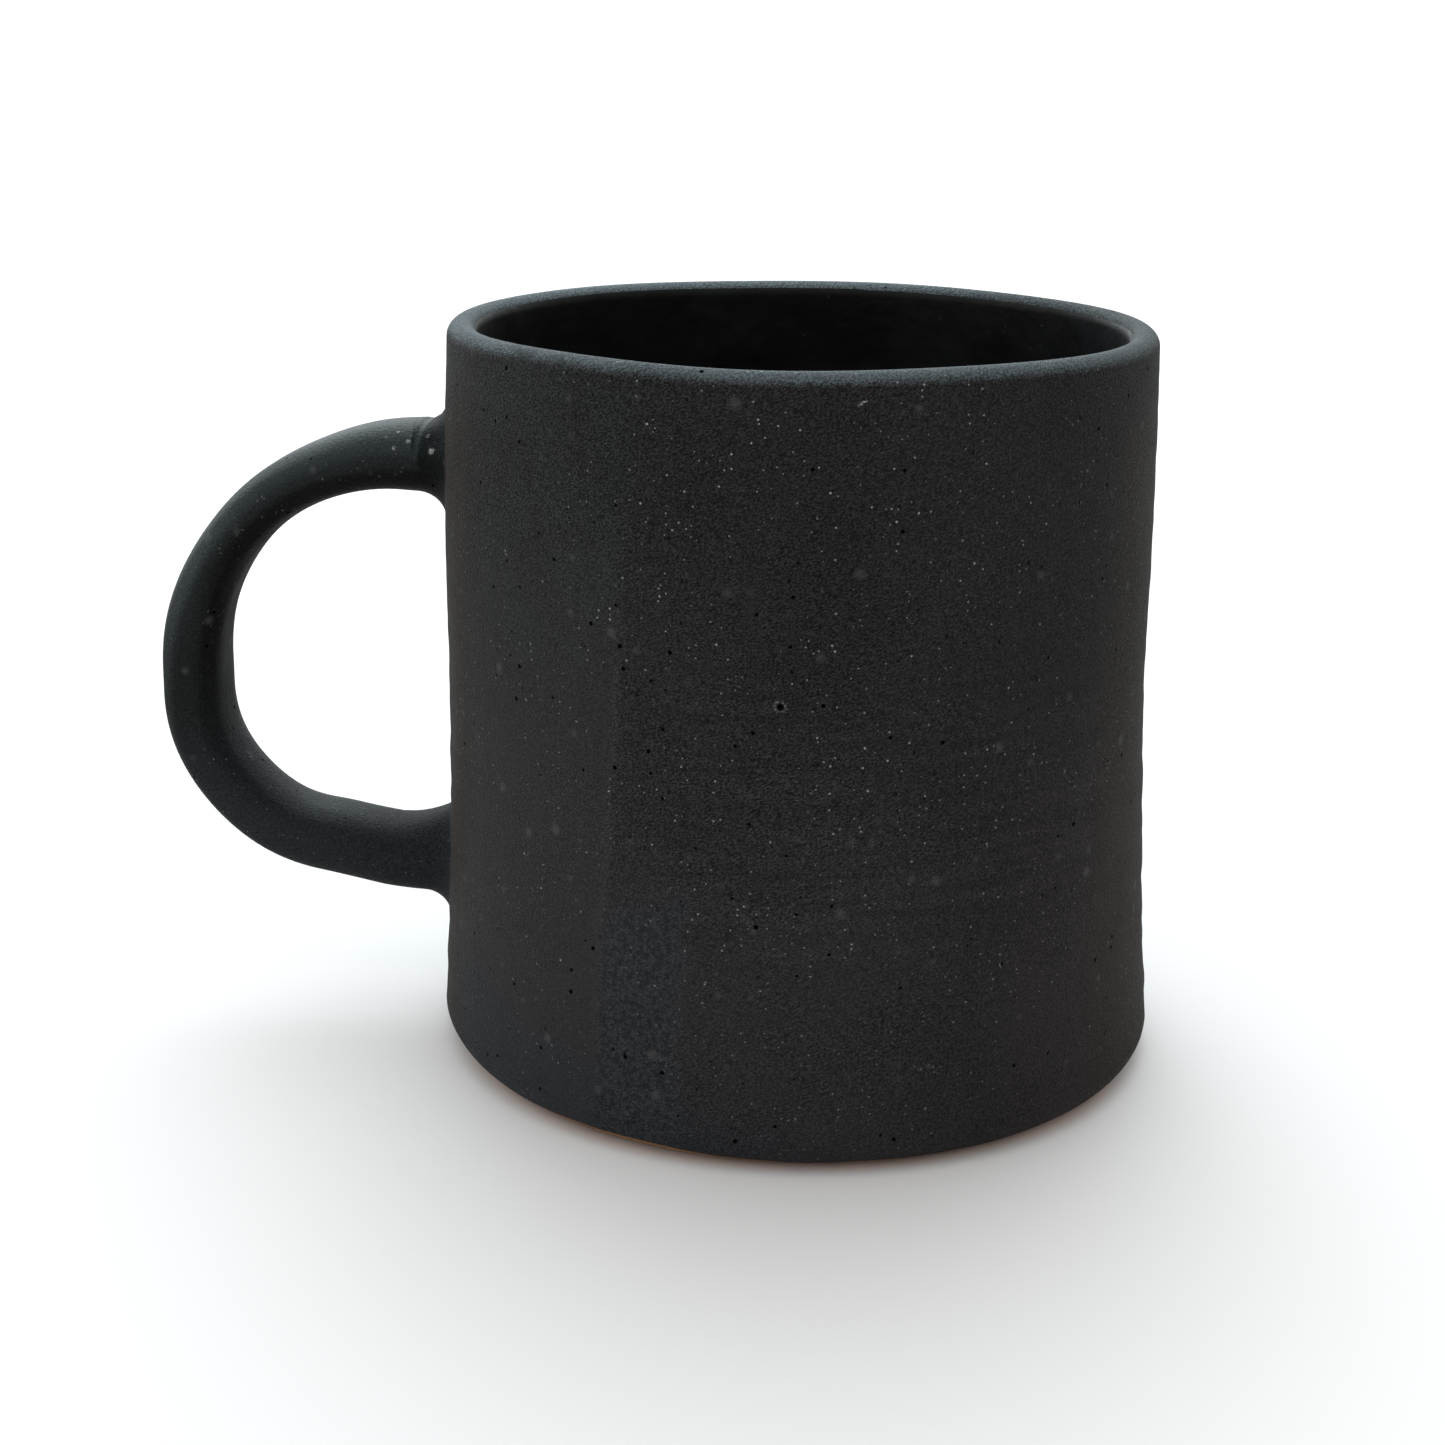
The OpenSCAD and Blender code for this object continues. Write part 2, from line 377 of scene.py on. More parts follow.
def build_outer_coat():
    """The matt glaze outside: a closed shell, dense on its face and light on its hidden back."""
    bare = np.zeros(COLUMNS)
    for middle, width, share in BARE_PLACES:
        bare += share * np.exp(-((angles - math.radians(middle)) / width) ** 2)
    glaze_end = -50 + 13 * bare + 1.6 * np.sin(9 * angles) + 1.1 * np.sin(23 * angles + 1)
    r, z, coated = outer_rows(0.0, glaze_end, wall_count=128, foot_count=9, lip_count=17)
    theta = np.broadcast_to(angles, r.shape)
    lip = smooth((z - LIP_Z + 4) / 5)
    relief = outside_relief(theta, z) * (1 - 0.6 * lip) + crater_relief(theta, z)
    face = set_on_cup(theta, r + relief * smooth(z / 4) - GLAZE_T * (1 - coated), z)
    face[..., 2] += rim_wave(theta, z)
    rb, zb, _ = outer_rows(GLAZE_T, glaze_end, wall_count=12, foot_count=3, lip_count=5)
    theta_b = np.broadcast_to(angles, rb.shape)
    back = set_on_cup(theta_b, rb + outside_relief(theta_b, zb) * smooth(zb / 4) * 0.9 - 0.02, zb)
    rows = np.concatenate([face, back[::-1]])
    n_face, n_back = len(face), len(back)
    points = rows.reshape(-1, 3)
    quads = quads_between(n_face + n_back, COLUMNS, True)
    z_all = np.concatenate([z, zb[::-1]])
    t_all = np.concatenate([theta, theta_b[::-1]])
    lip_arc = np.concatenate([np.maximum(z - LIP_Z, 0), np.maximum(zb[::-1] - LIP_Z, 0)])
    marks = {
        "dip_mm": dip_distance(t_all, z_all).ravel(),
        "height_mm": z_all.ravel(),
        "lip_mm": lip_arc.ravel(),
    }
    normals = face_normals(points, quads)
    rng = np.random.RandomState(8)
    row = rng.randint(14, n_face - 24, PINHOLE_TRIES)  # clear of the foot and the lip
    column = rng.randint(0, COLUMNS, PINHOLE_TRIES)
    dip = dip_distance(angles[column], z[row, column])
    keep = rng.rand(PINHOLE_TRIES) < np.where(dip < 0, 0.45, 0.85)
    chosen = np.unique(row[keep] * COLUMNS + column[keep])
    depths = 0.16 + 0.22 * rng.rand(len(chosen))
    points, quads, marks = sink_pits(points, quads, marks, chosen, normals, depths)
    sharp = ring_numbers(len(points), COLUMNS, (0, n_face - 1, n_face, n_face + n_back - 1))
    return make_piece("outer_glaze_coat", points, quads, marks=marks, sharp=sharp)


def build_liner_coat():
    """The glaze inside, from where it meets the outer coat down over the floor."""
    columns = 400
    around = np.linspace(0, TURN, columns, endpoint=False)
    x, zc = inner_rows(0.0, GLAZES_MEET - 4, wall_count=100, lip_count=7, well_count=22, floor_count=34)
    r = np.repeat(x[:, None], columns, axis=1)
    z = np.repeat(zc[:, None], columns, axis=1)
    theta = np.broadcast_to(around, r.shape)
    on_floor = smooth((WELL_WALL_R - 2 - r) / WELL_R)
    relief = inside_relief(theta, z) * (1 - on_floor) * smooth((LIP_Z + 1.5 - z) / 6)
    spiral = 0.20 * np.sin(TURN * r / 6.2 - theta) * smooth(r / 5) * on_floor
    face = set_on_cup(theta, r - relief, z + spiral)
    face[..., 2] += rim_wave(theta, z)
    xb, zb = inner_rows(GLAZE_T, GLAZES_MEET - 4, wall_count=10, lip_count=3, well_count=6, floor_count=4)
    rb = np.repeat(xb[:, None], columns, axis=1)
    back = set_on_cup(np.broadcast_to(around, rb.shape), rb, np.repeat(zb[:, None], columns, axis=1))
    rows = np.concatenate([back[::-1], face])
    points = np.concatenate([rows.reshape(-1, 3), [[0, 0, FLOOR_T - GLAZE_T], [0, 0, FLOOR_T]]])
    quads = quads_between(len(rows), columns, False)
    sharp = ring_numbers(len(points), columns, (len(back) - 1, len(back)))
    return make_piece("liner_glaze_coat", points, quads, end_fans(len(rows), columns), sharp=sharp)


def build_clay_body():
    """The thrown clay: seen only at the bare foot, where trimming left rings round a wire-cut base."""
    columns = 320
    around = np.linspace(0, TURN, columns, endpoint=False)
    foot_x = wall_radius(FOOT_EDGE_R) - FOOT_EDGE_R - GLAZE_T
    base_x = np.linspace(0, foot_x, 60)[1:-1]
    foot_a, foot_z = round_arc(foot_x, FOOT_EDGE_R, FOOT_EDGE_R, -90, 0, 14)
    wall_z = np.linspace(FOOT_EDGE_R, LIP_Z, 26)[1:-1]
    lip_a, lip_z = round_arc(LIP_X, LIP_Z, LIP_R - GLAZE_T, 0, 179, 9)
    in_x, in_z = inner_rows(GLAZE_T, 180, wall_count=14, lip_count=1, well_count=8, floor_count=6)
    x = np.concatenate([base_x, foot_a, wall_radius(wall_z) - GLAZE_T, lip_a, in_x])
    zc = np.concatenate([np.zeros_like(base_x), foot_z, wall_z, lip_z, in_z])
    outside = len(base_x) + len(foot_a) + len(wall_z) + len(lip_a) // 2
    r = np.repeat(x[:, None], columns, axis=1)
    z = np.repeat(zc[:, None], columns, axis=1)
    theta = np.broadcast_to(around, r.shape)
    wall = (np.arange(len(x)) < outside)[:, None]
    grow = np.where(wall, 0.9 * outside_relief(theta, z) * smooth(z / 4) - 0.06 * smooth(z / 4), 0.08)
    under = smooth((foot_x - 2.5 - r) / 3) * (np.arange(len(x)) < len(base_x))[:, None]
    rings = 0.06 * np.sin(TURN * r / 2.3 + 0.8 * np.sin(theta + 1)) + 0.05 * np.sin(TURN * r / 5.1)
    cut = 0.05 * np.sin(TURN * (r * np.cos(theta) + 0.02 * (r * np.sin(theta)) ** 2) / 3.7)
    z = z + under * (0.35 + rings + cut)
    points = np.concatenate([set_on_cup(theta, r + grow, z).reshape(-1, 3),
                             [[0, 0, 0.35], [0, 0, FLOOR_T - GLAZE_T - 0.1]]])
    quads = quads_between(len(x), columns, False)
    return make_piece("clay_body", points, quads, end_fans(len(x), columns))


# ---------------------------------------------------------------- the handle

MID_Z = ROOT_Z - UPPER_BEND
LOW_Z = MID_Z - GRIP_RUN
BEND_X = REACH - UPPER_BEND
LOW_X = REACH - LOWER_BEND
LOW_TURN = math.pi / 2 - LOWER_SLOPE
LOW_END = (LOW_X + LOWER_BEND * math.cos(LOW_TURN), LOW_Z - LOWER_BEND * math.sin(LOW_TURN))
CLEAR = {"upper": 5.2, "lower": 9.0}  # length of strap next to each wall shaped by its joint
SIDES = 112
phi = np.linspace(0, TURN, SIDES, endpoint=False)

# Each root: where the middle line leaves, its direction out, and how far its fillet reaches
# along the strap and over the wall at the top, the sides and the underside.
ROOTS = {
    "upper": {"start": (BEND_X, ROOT_Z), "slope": 0.0, "out": (4.0, 3.4, 3.6), "over": (4.2, 3.6, 4.3)},
    "lower": {"start": LOW_END, "slope": LOWER_SLOPE, "out": (1.3, 2.2, 3.3), "over": (0.8, 1.5, 3.6)},
}


def middle_line(s, run_in):
    """Distance out, height and heading of the strap's middle at lengths s along it."""
    bend = UPPER_BEND * math.pi / 2
    low = LOWER_BEND * LOW_TURN
    x, z, turn = np.zeros_like(s), np.zeros_like(s), np.zeros_like(s)
    a = s < run_in
    b = (s >= run_in) & (s < run_in + bend)
    c = (s >= run_in + bend) & (s < run_in + bend + GRIP_RUN)
    d = (s >= run_in + bend + GRIP_RUN) & (s < run_in + bend + GRIP_RUN + low)
    e = s >= run_in + bend + GRIP_RUN + low
    turn[b] = (s[b] - run_in) / UPPER_BEND
    turn[c] = math.pi / 2
    turn[d] = math.pi / 2 + (s[d] - run_in - bend - GRIP_RUN) / LOWER_BEND
    turn[e] = math.pi / 2 + LOW_TURN
    x[a], z[a] = BEND_X - run_in + s[a], ROOT_Z
    x[b], z[b] = BEND_X + UPPER_BEND * np.sin(turn[b]), MID_Z + UPPER_BEND * np.cos(turn[b])
    x[c], z[c] = REACH, MID_Z - (s[c] - run_in - bend)
    x[d], z[d] = LOW_X + LOWER_BEND * np.sin(turn[d]), LOW_Z + LOWER_BEND * np.cos(turn[d])
    rest = s[e] - run_in - bend - GRIP_RUN - low
    x[e], z[e] = LOW_END[0] - rest * math.cos(LOWER_SLOPE), LOW_END[1] - rest * math.sin(LOWER_SLOPE)
    return x, z, turn


def section(t, grow):
    """Offsets of the strap's outline, outward and sideways, at shares t of its length."""
    t = np.atleast_1d(t)[:, None]
    # Half the thickness: inner values from a least-squares fit to the outline, ends given.
    thick = spline([0, .14, .3, .5, .72, .88, 1], [3.85, 3.22, 3.14, 3.40, 3.63, 3.55, 3.85], t) + grow
    wide = spline([0, .2, .5, .8, 1], [6.15, 5.85, 5.75, 5.85, 6.1], t) + grow
    knee = 0.14 * np.exp(-((t - 0.90) / 0.05) ** 2)
    thick = thick + knee + 0.1 * smooth(1 - t / 0.16)
    raised = 0.25 * smooth(1 - t / 0.16) - knee
    c, n = np.cos(phi)[None, :], np.sin(phi)[None, :]
    u = thick * np.sign(c) * np.abs(c) ** 0.74
    v = wide * np.sign(n) * np.abs(n) ** 0.74
    pulls = 0.035 * np.sin(5 * phi[None, :] + 7 * t) + 0.03 * np.sin(9 * phi[None, :] - 11 * t)
    dents = 0.10 * np.sin(17 * t + 2 * phi[None, :]) + 0.06 * np.sin(31 * t + phi[None, :] + 1)
    swell = 1 + (pulls + dents) / thick * np.sin(np.clip(t, 0, 1) * math.pi)
    return u * swell + raised, v * swell


def across_root(root, top, side, under):
    """Blends three values round the strap: its top, its sides and its underside."""
    up = np.cos(phi) if root == "upper" else -np.cos(phi)
    return side + np.where(up > 0, (top - side) * up**2, (under - side) * up**2)


def root_ring(root, u, v, reach):
    """Points at a distance from the wall, measured along the strap, for each side of it."""
    place = ROOTS[root]
    a = place["slope"]
    flip = 1 if root == "upper" else -1
    out = np.array([-math.cos(a), math.sin(a)])
    outward = np.array([math.sin(a), math.cos(a)]) * flip
    start = np.array([-place["start"][0], place["start"][1]])
    x0, z0 = start[0] + u * outward[0], start[1] + u * outward[1]
    back = np.full_like(u, place["start"][0] - WAIST_R)
    for _ in range(8):  # enough for the distance to the wall to settle
        z = z0 - back * out[1]
        x = x0 - back * out[0]
        back = back + (wall_x(v, z) - x) / -out[0]
    back = back - reach
    return np.stack([x0 - back * out[0], v, z0 - back * out[1]], axis=-1)


def pressed(root, reach):
    """How far each side of the strap sinks where the potter pressed clay over the upper root."""
    if root == "lower":
        return np.zeros_like(reach)
    edge = 3.75 - 0.6 * np.sin(phi) + 0.12 * np.sin(5 * phi)
    share = smooth((np.cos(phi) - 0.05) / 0.5)
    crease = 0.14 * np.exp(-((reach - 1.3) / 0.35) ** 2)
    return share * (0.42 * smooth((edge - reach) / 0.65) + crease)


def lifted(root, reach):
    """How far each side of the strap climbs next to the wall at the lower root."""
    if root == "upper":
        return np.zeros_like(reach)
    return across_root(root, 3.6, 1.8, 0.6) * np.clip(1 - reach / CLEAR[root], 0, 1) ** 1.8


def joint_rings(root, end, u, v, grow, fillet_count, lead_count, sink):
    """Rings from the end of the strap's clear length to the wall, turning out over it."""
    out = across_root(root, *ROOTS[root]["out"]) + grow
    over = across_root(root, *ROOTS[root]["over"]) + grow
    size = np.hypot(u, v)
    nu, nv = u / size, v / size
    knead = 1 + 0.10 * np.sin(3 * phi + 1) + 0.06 * np.sin(7 * phi)
    start = np.linalg.norm(end - root_ring(root, u, v, 0.0), axis=1)
    rings = []
    for t in np.linspace(0, 1, lead_count, endpoint=False)[1:]:
        reach = start + (out - start) * t
        side = -pressed(root, reach)
        rings.append(root_ring(root, u + nu * side - lifted(root, reach), v + nv * side, reach))
    for t in np.linspace(0, 1, fillet_count):
        a = t * math.pi / 2
        reach = (out + sink) * (1 - math.sin(a)) - sink
        side = over * knead * (1 - math.cos(a)) - pressed(root, reach)
        rings.append(root_ring(root, u + nu * side - lifted(root, reach), v + nv * side, reach))
    return rings


def strap_rings(grow, path_count, fillet_count, lead_count, sink):
    """All rings of the dressed strap, from the upper wall round to the lower wall."""
    run_in = BEND_X - WAIST_R - CLEAR["upper"]
    lower_run = (LOW_END[0] - wall_radius(LOW_END[1])) / math.cos(LOWER_SLOPE) - CLEAR["lower"]
    length = run_in + UPPER_BEND * math.pi / 2 + GRIP_RUN + LOWER_BEND * LOW_TURN + lower_run
    s = np.linspace(0, length, path_count)
    x, z, turn = middle_line(s, run_in)
    u, v = section(s / length, grow)
    rings = np.stack([
        -(x[:, None] + u * np.sin(turn)[:, None]), v, z[:, None] + u * np.cos(turn)[:, None]], axis=-1)
    detail = (max(grow, 0), fillet_count, lead_count, sink)
    upper = joint_rings("upper", rings[0], u[0], v[0], *detail)
    lower = joint_rings("lower", rings[-1], u[-1], v[-1], *detail)
    return np.concatenate([upper[::-1], rings, lower])


def build_handle_coat():
    """The glaze over the strap and its two joints, a closed shell with a light hidden back."""
    face = strap_rings(GLAZE_T, path_count=300, fillet_count=26, lead_count=40, sink=0.14)
    back = strap_rings(0.0, path_count=60, fillet_count=6, lead_count=6, sink=0.2)
    rows = np.concatenate([face, back[::-1]])
    points = rows.reshape(-1, 3)
    quads = quads_between(len(rows), SIDES, True)
    normals = face_normals(points, quads)
    rng = np.random.RandomState(31)
    row, column = rng.randint(70, 350, 26), rng.randint(0, SIDES, 26)  # clear of both joints
    chosen = np.unique(row * SIDES + column)
    upward = np.zeros(len(points))
    np.add.at(upward, quads.ravel(), np.repeat(normals[:, 2], 4) / 4)
    # The upward and outer_side marks steer the handle's painted teal highlight.
    marks = {"outer_side": np.tile(np.cos(phi), len(rows)), "upward": upward}
    depths = 0.14 + 0.14 * rng.rand(len(chosen))
    points, quads, marks = sink_pits(points, quads, marks, chosen, normals, depths)
    sharp = ring_numbers(len(points), SIDES, (0, len(face) - 1, len(face), len(rows) - 1))
    return make_piece("handle_glaze_coat", points, quads, marks=marks, sharp=sharp)


def capped(name, rows):
    """A closed rod from rings, with a fan of faces over each end."""
    points = np.concatenate([rows.reshape(-1, 3), [rows[0].mean(axis=0), rows[-1].mean(axis=0)]])
    quads = quads_between(len(rows), SIDES, False)
    return make_piece(name, points, quads, end_fans(len(rows), SIDES))


def build_strap():
    """The pulled clay under the handle's glaze."""
    rings = strap_rings(-0.05, path_count=90, fillet_count=2, lead_count=3, sink=0.3)
    return capped("clay_strap", rings[2:-2])


def build_coil(root):
    """The clay coil round one root, between the strap and the glaze."""
    u, v = section(0.0 if root == "upper" else 1.0, -0.04)
    end = root_ring(root, u[0], v[0], CLEAR[root])
    outer = joint_rings(root, end, u[0], v[0], 0.0, fillet_count=12, lead_count=6, sink=0.25)[3:]
    u, v = section(0.0 if root == "upper" else 1.0, -0.7)
    reach = across_root(root, *ROOTS[root]["out"])
    inner = [root_ring(root, u[0] - lifted(root, reach * share), v[0], reach * share - 0.25)
             for share in (0.0, 0.5, 1.0)]
    rows = np.stack(outer + inner)
    if root == "upper":
        rows = rows[::-1]
    quads = quads_between(len(rows), SIDES, True)
    return make_piece(root + "_clay_coil", rows.reshape(-1, 3), quads)


# ---------------------------------------------------------------- materials

class Nodes:
    """Short calls for building a node tree."""

    def __init__(self, tree):
        self.tree = tree

    def node(self, kind, **settings):
        made = self.tree.nodes.new(kind)
        for key, value in settings.items():
            setattr(made, key, value)
        return made

    def feed(self, socket, value):
        if isinstance(value, bpy.types.NodeSocket):
            self.tree.links.new(value, socket)
        else:
            socket.default_value = value

    def vector(self, operation, a, b, c=None):
        made = self.node("ShaderNodeVectorMath", operation=operation)
        self.feed(made.inputs[0], a)
        self.feed(made.inputs[1], b)
        if c is not None:
            self.feed(made.inputs[2], c)
        single = operation in ("DOT_PRODUCT", "DISTANCE")
        return made.outputs["Value" if single else "Vector"]

    def math(self, operation, a, b=0.0, c=None, clamp=False):
        made = self.node("ShaderNodeMath", operation=operation, use_clamp=clamp)
        self.feed(made.inputs[0], a)
        self.feed(made.inputs[1], b)
        if c is not None:
            self.feed(made.inputs[2], c)
        return made.outputs[0]


class Shader(Nodes):
    """One material, with textures measured in millimetres on the object."""

    def __init__(self, name):
        self.material = bpy.data.materials.new(name)
        self.material.use_nodes = True
        super().__init__(self.material.node_tree)
        self.tree.nodes.clear()
        self.out = self.node("ShaderNodeOutputMaterial")
        self.surface = self.node("ShaderNodeBsdfPrincipled")
        self.feed(self.out.inputs["Surface"], self.surface.outputs[0])
        where = self.node("ShaderNodeTexCoord").outputs["Object"]
        self.place = self.vector("MULTIPLY", where, (1 / MM, 1 / MM, 1 / MM))

    def times(self, first, *others):
        for other in others:
            first = self.math("MULTIPLY", first, other)
        return first

    def without(self, share):
        """What is left of 1 when a share is taken away."""
        return self.math("SUBTRACT", 1.0, share)

    def step(self, value, low, high, smooth_ends=True):
        """0 below low, 1 above high, or the other way round when low is the larger."""
        made = self.node("ShaderNodeMapRange")
        made.interpolation_type = "SMOOTHSTEP" if smooth_ends else "LINEAR"
        falling = low > high
        self.feed(made.inputs["Value"], value)
        self.feed(made.inputs["From Min"], high if falling else low)
        self.feed(made.inputs["From Max"], low if falling else high)
        self.feed(made.inputs["To Min"], 1.0 if falling else 0.0)
        self.feed(made.inputs["To Max"], 0.0 if falling else 1.0)
        return made.outputs["Result"]

    def band(self, value, start, full, fading, end):
        """Rises from 0 at start to 1 at full, then falls from fading to 0 at end."""
        return self.times(self.step(value, start, full), self.step(value, end, fading))

    def along(self, way):
        """How far the place lies along a direction, in millimetres."""
        return self.vector("DOT_PRODUCT", self.place, way)

    def near(self, point, inner, outer):
        """1 within inner millimetres of a point, fading to 0 at outer."""
        point = tuple(float(part) for part in point)
        return self.step(self.vector("DISTANCE", self.place, point), outer, inner)

    def slanted(self):
        """The place sheared and flattened, so noise there makes short strokes that climb to +X."""
        made = self.node("ShaderNodeCombineXYZ")
        for socket, way in zip(made.inputs, ((1, 0, 0), (0, 1, 0), (-0.75, -0.2, 1.7))):
            self.feed(socket, self.along(way))
        return made.outputs[0]

    def noise(self, size, detail=2.0, roughness=0.5, shift=0.0, where=None):
        """Cloudy noise whose features are about size millimetres across."""
        made = self.node("ShaderNodeTexNoise")
        where = where or self.place
        if shift:
            where = self.vector("ADD", where, (shift, shift * 0.7, -shift))
        self.feed(made.inputs["Vector"], where)
        made.inputs["Scale"].default_value = 1.0 / size
        made.inputs["Detail"].default_value = detail
        made.inputs["Roughness"].default_value = roughness
        return made.outputs["Fac"]

    def wander(self, size, reach, shift=0.0):
        """Noise that swings to both sides of zero, within about half of reach."""
        return self.times(self.math("SUBTRACT", self.noise(size, 3.0, 0.6, shift), 0.5), reach)

    def spots(self, spacing, radius, soft, share, shift=0.0):
        """Round spots: about share of the cells of that spacing hold one, of varying size."""
        made = self.node("ShaderNodeTexVoronoi")
        where = self.vector("ADD", self.place, (shift, -shift, shift * 0.4))
        self.feed(made.inputs["Vector"], where)
        made.inputs["Scale"].default_value = 1.0 / spacing
        parts = self.node("ShaderNodeSeparateColor")
        self.feed(parts.inputs[0], made.outputs["Color"])
        picked = self.step(parts.outputs[0], 1 - share - 0.001, 1 - share, smooth_ends=False)
        size = self.math("MULTIPLY_ADD", parts.outputs[1], 0.8, 0.35)
        edge = self.times(size, radius / spacing)
        inside = self.math("SUBTRACT", edge, made.outputs["Distance"])
        return self.times(self.math("DIVIDE", inside, soft / spacing, clamp=True), picked)

    def mix(self, factor, a, b, blend="MIX"):
        made = self.node("ShaderNodeMix", data_type="RGBA", blend_type=blend)
        self.feed(made.inputs[0], factor)
        self.feed(made.inputs[6], a)
        self.feed(made.inputs[7], b)
        return made.outputs[2]

    def mark(self, name):
        return self.node("ShaderNodeAttribute", attribute_name=name).outputs["Fac"]

    def bump(self, height, strength, distance, under=None):
        made = self.node("ShaderNodeBump")
        self.feed(made.inputs["Height"], height)
        self.feed(made.inputs["Strength"], strength)
        made.inputs["Distance"].default_value = distance * MM
        if under is not None:
            self.feed(made.inputs["Normal"], under)
        return made.outputs["Normal"]

    def finish(self, color, roughness, normal, specular):
        self.feed(self.surface.inputs["Base Color"], color)
        self.feed(self.surface.inputs["Roughness"], roughness)
        self.feed(self.surface.inputs["Normal"], normal)
        self.feed(self.surface.inputs["Specular IOR Level"], specular)
        return self.material


def grey(value, warm=0.0, blue=0.0):
    return (value * (1 + warm), value, value * (1 + blue), 1.0)


CUP_BLACK = 0.0145
HANDLE_BLACK = 0.0048
FIRST_COAT_LOW = grey(0.0222, 0.05, 0.03)
FIRST_COAT_HIGH = grey(0.0188, 0.04, 0.02)
SEAM = grey(0.033, -0.02, 0.03)
HEM = grey(0.0215, -0.14, 0.20)
PATCH_DARK = grey(0.0115, -0.08, 0.16)
PATCH_PALE = grey(0.0325, -0.12, 0.20)
PATCH_RIM = grey(0.030, -0.04, 0.08)
# The lip's cool greys: partly glaze breaking thin, partly painted highlight from the sky.
LIP_NEAR_BREAK_AND_HIGHLIGHT = grey(0.096, -0.17, 0.09)
LIP_RIGHT_BREAK_AND_HIGHLIGHT = grey(0.066, -0.15, 0.08)
LIP_FAR_BREAK_AND_HIGHLIGHT = grey(0.145, -0.19, 0.09)
CRATER_RING = grey(0.105)
STREAK_PALE = grey(0.34)
# Painted shade for the hollow at the upper root.
JOINT_SHADE = grey(0.0034, -0.10, 0.0)
SOFT_SPOT = grey(0.074, 0.02, 0.0)
PALE_GRAIN = grey(0.400, 0.0, 0.02)
PALE_SPECK = grey(0.50, 0.0, 0.02)
# Painted shade inside the pinholes.
PINHOLE_SHADE = grey(0.0010)


def wall_color(s):
    """The cup's black: cloudy, paler low down, flushed low at the right and darker above that."""
    around, height = s.mark("dip_mm"), s.mark("height_mm")
    clouds = s.step(s.noise(30.0, 2.0, 0.5, 4.0), 0.32, 0.70)
    color = s.mix(clouds, grey(CUP_BLACK * 0.97, 0.09, 0.01), grey(CUP_BLACK * 1.08, 0.04, 0.05))
    low = s.times(s.step(height, 78.0, 20.0), s.step(around, 52.0, 24.0), 0.85)
    color = s.mix(low, color, grey(CUP_BLACK * 1.60, 0.07, 0.03))
    flushed = s.times(s.step(around, 40.0, 52.0), s.step(height, 56.0, 40.0), 0.85)
    color = s.mix(flushed, color, grey(CUP_BLACK * 1.05, 0.23, 0.06))
    dark = s.times(s.step(around, 34.0, 52.0), s.step(height, 40.0, 58.0), 0.85)
    return s.mix(dark, color, grey(CUP_BLACK * 0.74, 0.02, 0.0))


def throwing_lines(s, color):
    """Faint level lines low on the wall, where the thrower's fingers ran."""
    stretched = s.vector("MULTIPLY", s.place, (0.07, 0.07, 1.0))
    lines = s.step(s.noise(1.3, 2.0, 0.6, 61.0, stretched), 0.36, 0.62)
    shade = s.mix(lines, grey(0.84), grey(1.09))
    reach = s.times(s.band(s.mark("height_mm"), 20.0, 32.0, 52.0, 66.0), s.step(s.mark("dip_mm"), 2.0, 9.0))
    return s.mix(reach, color, s.mix(1.0, color, shade, "MULTIPLY"))


def two_dips(s, color):
    """The first dip's smoother coat, the seam at its edge, the bluish hem and the doubled patch."""
    dip, height = s.mark("dip_mm"), s.mark("height_mm")
    wide = s.wander(5.0, 9.0, 6.0)
    line = s.math("ADD", dip, s.wander(1.3, 3.0))
    first_dip = s.times(s.step(line, 0.9, -0.9), s.step(height, 84.0, 56.0))
    coat = s.mix(s.step(height, 38.0, 58.0), FIRST_COAT_LOW, FIRST_COAT_HIGH)
    color = s.mix(s.times(first_dip, 0.9), color, coat)
    seam = s.times(s.band(line, -1.4, -0.5, -0.3, 0.4), s.step(height, 72.0, 50.0), 0.35)
    color = s.mix(seam, color, SEAM)
    hem_height = s.math("ADD", s.math("ADD", height, wide), s.times(dip, 0.22))
    color = s.mix(s.times(s.step(hem_height, 15.0, 4.0), 0.85), color, HEM)

    far_edge = s.math("ADD", line, s.times(wide, 0.30))
    top = s.math("ADD", s.math("SUBTRACT", height, s.times(dip, 0.25)), wide)
    below = s.step(top, PATCH_TOP + 2.0, PATCH_TOP - 6.0)
    patch = s.times(s.step(line, -1.0, 1.2), s.step(far_edge, 10.8, 8.8), below)
    mottled = s.step(s.noise(0.6, 3.0, 0.7, 17.0), 0.38, 0.60)
    color = s.mix(s.times(patch, 0.85), color, s.mix(mottled, PATCH_DARK, PATCH_PALE))
    rim = s.times(s.band(far_edge, 7.8, 9.0, 9.6, 10.6), below, 0.30)
    return s.mix(rim, color, PATCH_RIM), first_dip, patch


def lip_break_and_highlight(s, color):
    """The lip, where thin glaze breaks to a cool grey, with painted highlight from the sky above and
    behind; palest along the far side.
    """
    # Painted highlight over the lip's thin-glaze grey, strongest on the far side.
    lip_break_and_highlight_color = s.mix(s.step(s.along((1.0, 0.3, 0.0)), 15.0, 42.0), LIP_NEAR_BREAK_AND_HIGHLIGHT, LIP_RIGHT_BREAK_AND_HIGHLIGHT)
    lip_break_and_highlight_color = s.mix(s.step(s.along((-0.4, 0.9, 0.0)), 14.0, 38.0), lip_break_and_highlight_color, LIP_FAR_BREAK_AND_HIGHLIGHT)
    on_lip = s.step(s.mark("lip_mm"), 0.1, 1.5)
    return s.mix(on_lip, color, lip_break_and_highlight_color), on_lip


